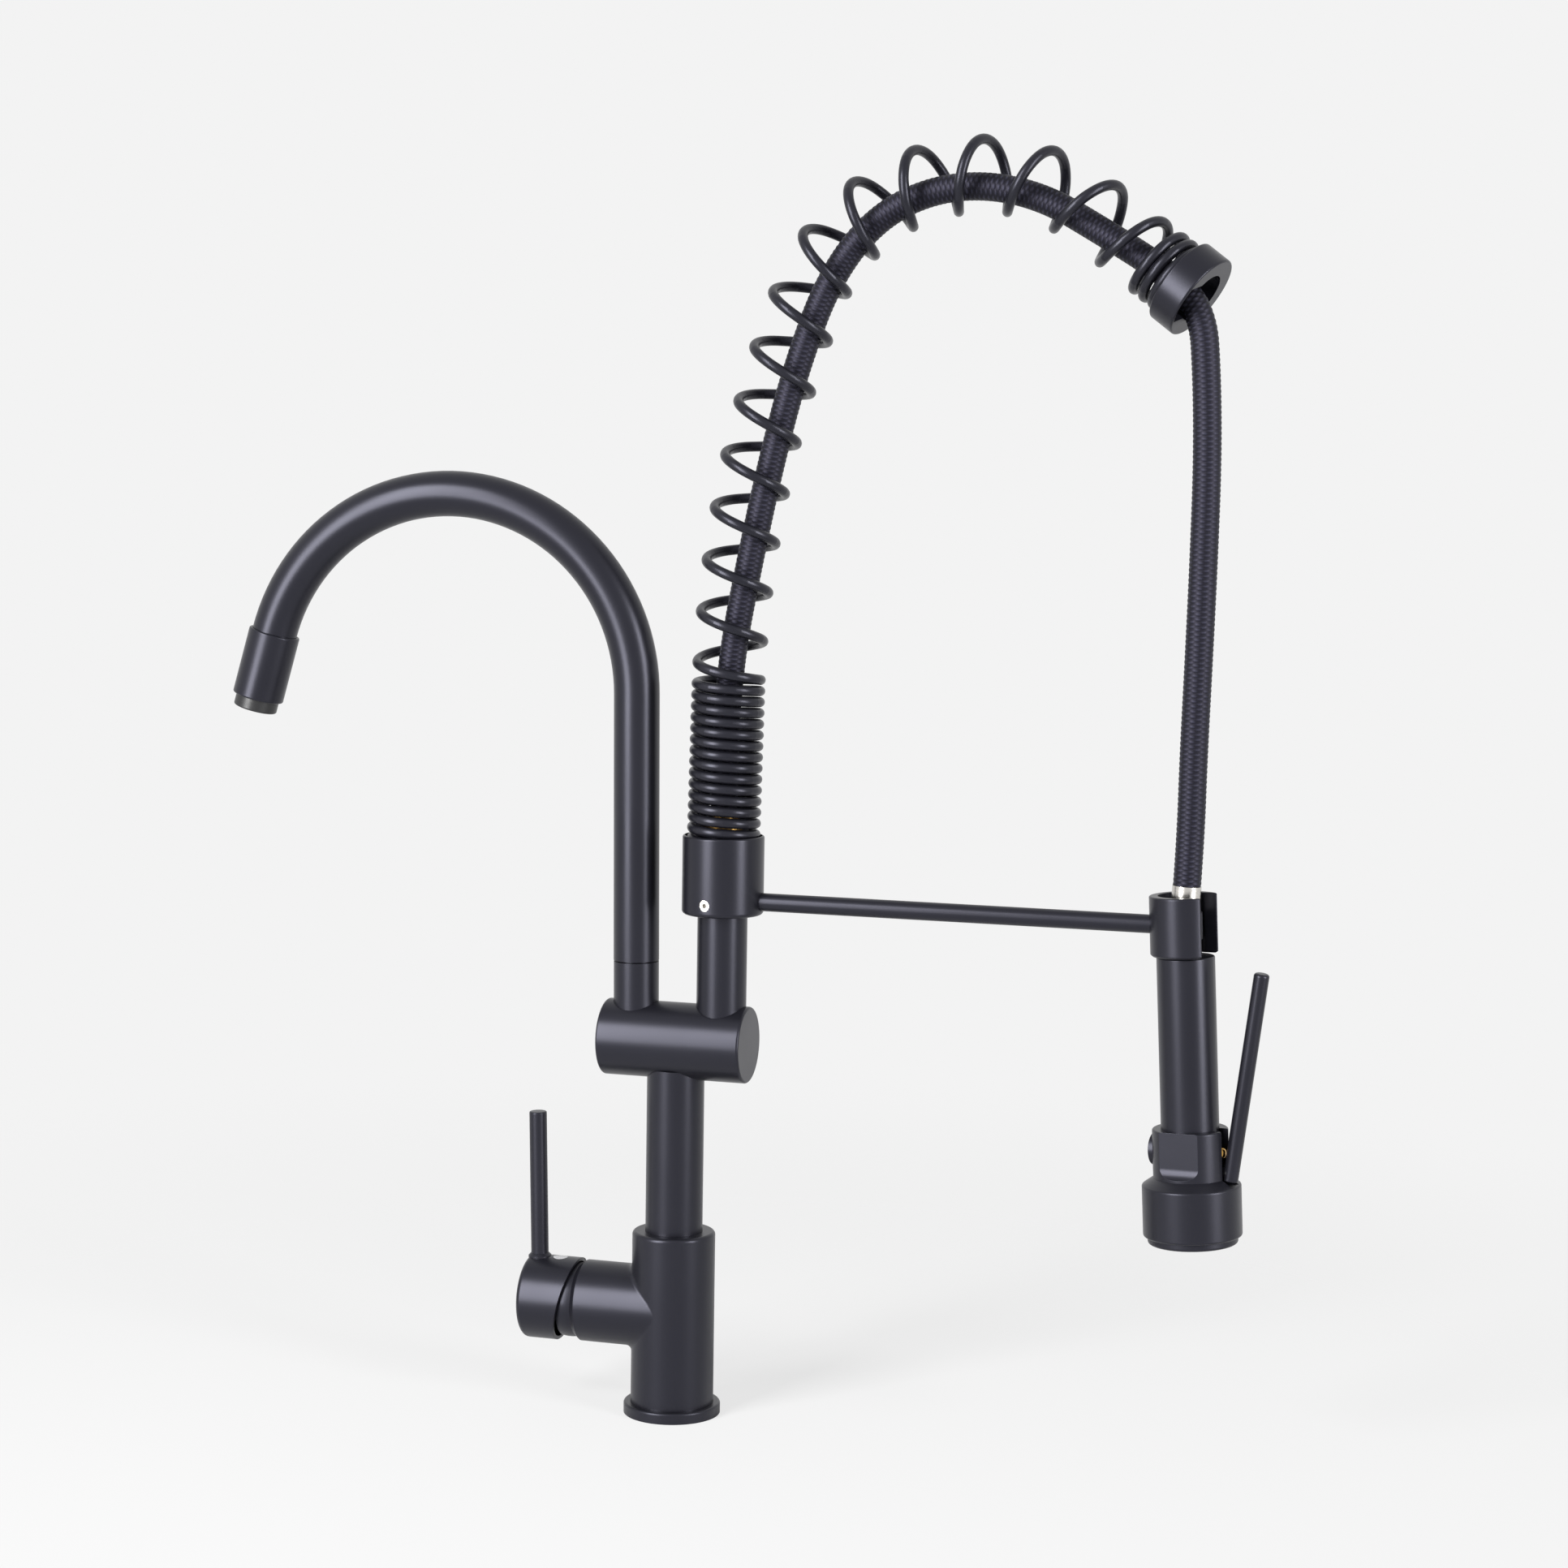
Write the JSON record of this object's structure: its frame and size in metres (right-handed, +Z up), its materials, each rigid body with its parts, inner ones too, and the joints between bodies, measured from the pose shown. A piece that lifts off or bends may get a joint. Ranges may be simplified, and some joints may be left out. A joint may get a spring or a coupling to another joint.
{
  "type": "pre rinse faucet",
  "caption": "Deck-mounted kitchen mixer with a swivelling swan-neck spout and a spring-guided pull-down spray on a docking arm.",
  "frame": {"origin": "centre of the mixer's foot, on the worktop", "axes": "+Z up, +X along the cross body towards the spray, -Y towards the user"},
  "size_m": [0.5746, 0.0552, 0.6842],
  "materials": {
    "black_coat": "matte black coating on brass and steel",
    "black_wire": "matte black coated steel wire",
    "black_plastic": "moulded, matte",
    "pale_plastic": "moulded, glossy",
    "brass_part": "turned",
    "steel_part": "turned, bright",
    "seal_rubber": "moulded",
    "hose_braid": "braided cover with pale flecks"
  },
  "bodies": {
    "base": {"base_flange": "black_coat", "base_gasket": "seal_rubber", "mixer_body": "black_coat", "cartridge_port_seals": "seal_rubber", "cartridge_case": "black_plastic", "cartridge_nut": "black_plastic", "bonnet_ring": "black_coat", "riser_tube": "black_coat", "riser_seals": "seal_rubber", "cross_body": "black_coat", "cross_end_plug": "black_coat", "diverter_sleeve": "brass_part", "left_post": "black_coat", "spout_seals": "seal_rubber", "post_retaining_screw": "steel_part"},
    "diverter": {"diverter_poppet": "brass_part", "diverter_spring": "steel_part"},
    "mixing_rotor": {"cartridge_rotor": "black_plastic", "rotor_pin": "steel_part"},
    "mixer_handle": {"cartridge_spindle": "steel_part", "handle_cap": "black_coat", "cap_grub_screw": "steel_part", "cap_plug": "pale_plastic", "pin_lever": "black_coat"},
    "spout": {"spout_bush": "black_plastic", "swan_spout": "black_coat", "aerator_housing": "black_coat", "aerator_washer": "seal_rubber", "aerator_insert": "black_plastic"},
    "arch": {"right_post": "black_coat", "post_seals": "seal_rubber", "hose_nipple": "brass_part", "arm_collar": "black_coat", "collar_set_screw": "steel_part", "arm_rod": "black_coat", "dock_ring": "black_coat", "dock_cradle": "black_plastic", "arch_spring": "black_wire", "spring_end_ring": "black_coat", "spray_hose": "hose_braid"},
    "hose_end": {"hose_ferrule": "steel_part", "hose_nut": "black_coat"},
    "spray": {"spray_neck": "black_coat", "spray_handle": "black_coat", "valve_body": "black_coat", "valve_plug": "black_coat", "lever_pin": "steel_part", "spray_head": "black_coat", "flow_disc": "black_plastic", "spray_face": "black_plastic", "stem_spring": "steel_part"},
    "spray_stem": {"valve_stem": "brass_part"},
    "grip_lever": {"spray_lever": "black_coat"}
  },
  "joints": [
    {"name": "diverter_slide", "type": "slide", "parent": "base", "child": "diverter", "axis": [-1, 0, 0], "range_m": [0, 0.004], "stiffness_N_per_m": 60, "deforming": ["diverter_spring"]},
    {"name": "mixing_turn", "type": "hinge", "parent": "base", "child": "mixing_rotor", "pos_m": [0, 0, 0.0573], "axis": [-1, 0, 0], "range_deg": [-45, 45]},
    {"name": "flow_tilt", "type": "hinge", "parent": "mixing_rotor", "child": "mixer_handle", "pos_m": [-0.057, 0, 0.0573], "axis": [0, -1, 0], "range_deg": [0, 20]},
    {"name": "spout_swing", "type": "hinge", "parent": "base", "child": "spout", "pos_m": [-0.0232, 0, 0.2469], "axis": [-0.0096, 0, 1], "range_deg": [-105, 105]},
    {"name": "arch_swing", "type": "hinge", "parent": "base", "child": "arch", "pos_m": [0.0252, 0, 0.2076], "axis": [0, 0, 1], "range_deg": [-140, 140]},
    {"name": "dock_release", "type": "slide", "parent": "arch", "child": "hose_end", "axis": [0.9795, -0.1942, 0.053], "range_m": [0, 0.06], "deforming": ["spray_hose"]},
    {"name": "spray_swivel", "type": "hinge", "parent": "hose_end", "child": "spray", "pos_m": [0.2736, 0, 0.2826], "axis": [-0.0541, 0, 0.9985], "continuous": true},
    {"name": "grip_squeeze", "type": "hinge", "parent": "spray", "child": "grip_lever", "pos_m": [0.29633, -0.00367, 0.15664], "axis": [-0.2246, -0.9744, -0.0122], "range_deg": [0, 11], "stiffness_Nm_per_rad": 1.5, "springref_deg": -2.86},
    {"name": "stem_push", "type": "slide", "parent": "spray", "child": "spray_stem", "axis": [-0.9729, 0.225, -0.0527], "range_m": [0, 0.0021], "deforming": ["stem_spring"]}
  ],
  "couplings": [
    {"joint": "stem_push", "follows": "grip_squeeze", "m_per_rad": 0.01}
  ]
}
